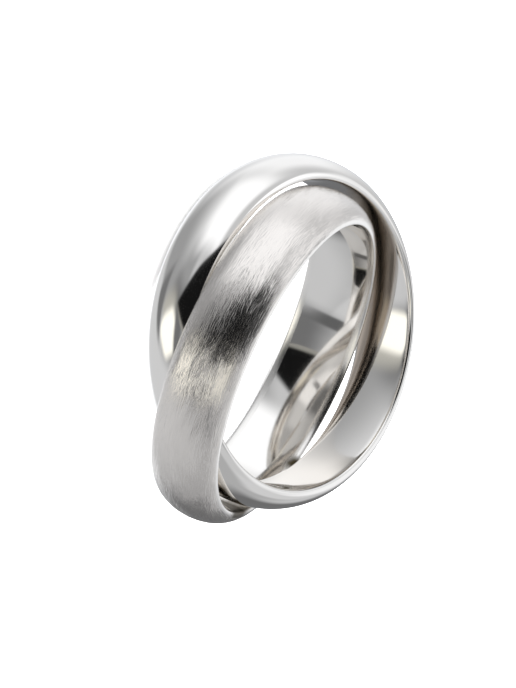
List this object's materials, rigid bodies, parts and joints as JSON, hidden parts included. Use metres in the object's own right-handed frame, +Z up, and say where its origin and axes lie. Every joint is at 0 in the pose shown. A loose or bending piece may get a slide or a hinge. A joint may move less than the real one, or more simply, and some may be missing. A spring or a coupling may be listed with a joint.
{
  "type": "interlocked silver finger ring",
  "caption": "Finger ring of loose half-round silver bands linked through each other, one polished and one brushed, which fold together and apart.",
  "frame": {"origin": "on the surface that the ring lies on, under the middle of the linked pair", "axes": "+Z up from the surface, +X along the line on which the bands cross each other, through both crossings, with the brushed band's centre on the +X side, +Y toward the end where the brushed band is low"},
  "size_m": [0.023, 0.0208, 0.0085],
  "materials": {
    "polished_silver": "mirror-polished sterling silver",
    "brushed_silver": "sterling silver, brushed along the crown and polished on the inside and the edges"
  },
  "bodies": {
    "polished_band": {"polished_band": "polished_silver"},
    "brushed_band": {"brushed_band": "brushed_silver"}
  },
  "joints": [
    {"name": "bands_fold", "type": "hinge", "parent": "polished_band", "child": "brushed_band", "pos_m": [0, 0.00002, 0.00424], "axis": [-1, 0, 0], "range_deg": [0, 124]}
  ]
}
